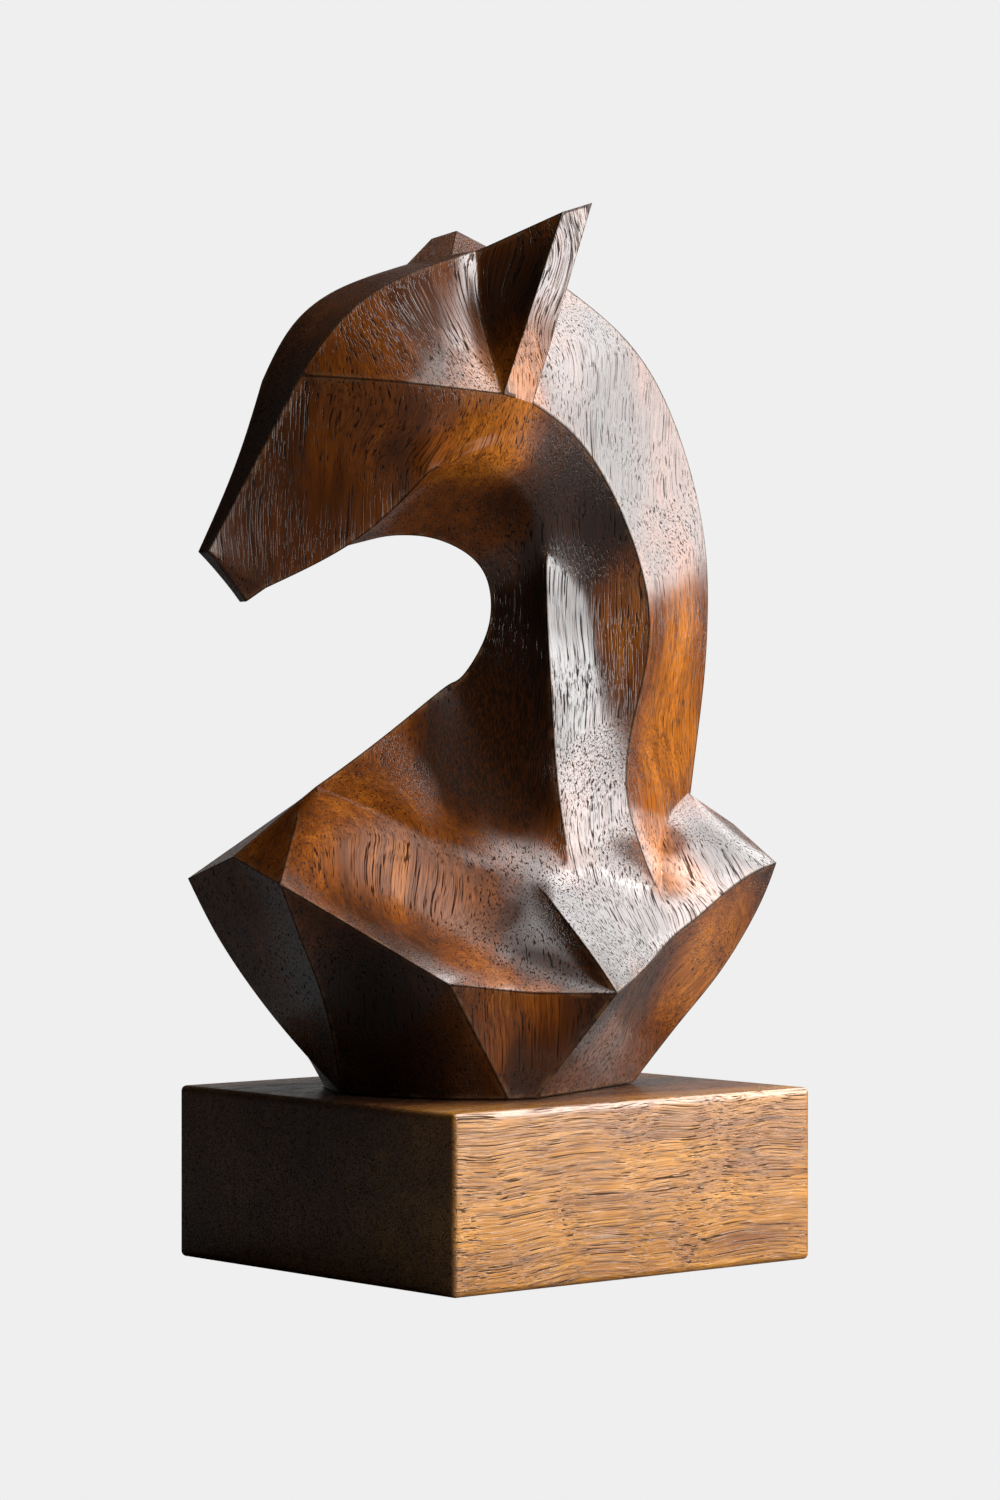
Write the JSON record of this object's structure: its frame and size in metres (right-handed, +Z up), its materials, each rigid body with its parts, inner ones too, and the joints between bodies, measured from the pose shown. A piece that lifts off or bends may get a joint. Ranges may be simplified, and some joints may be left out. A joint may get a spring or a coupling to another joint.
{
  "type": "carved wooden horse sculpture",
  "caption": "Geometric horse carved in crisp walnut facets, with a fluted neck and a bowed head, standing on a rectangular walnut plinth.",
  "frame": {"origin": "middle of the plinth's underside", "axes": "+Z up; +Y along the plinth's long sides, towards the horse's tail, so the horse looks towards -Y, turned ten degrees to its right; +X out of the horse's left side"},
  "size_m": [0.1238, 0.1771, 0.3008],
  "materials": {
    "horse_walnut": "oiled, soft sheen, open grain",
    "plinth_walnut": "oiled, soft sheen, wavy figure along the long sides"
  },
  "bodies": {
    "root": {"horse": "horse_walnut", "plinth": "plinth_walnut"}
  },
  "joints": []
}
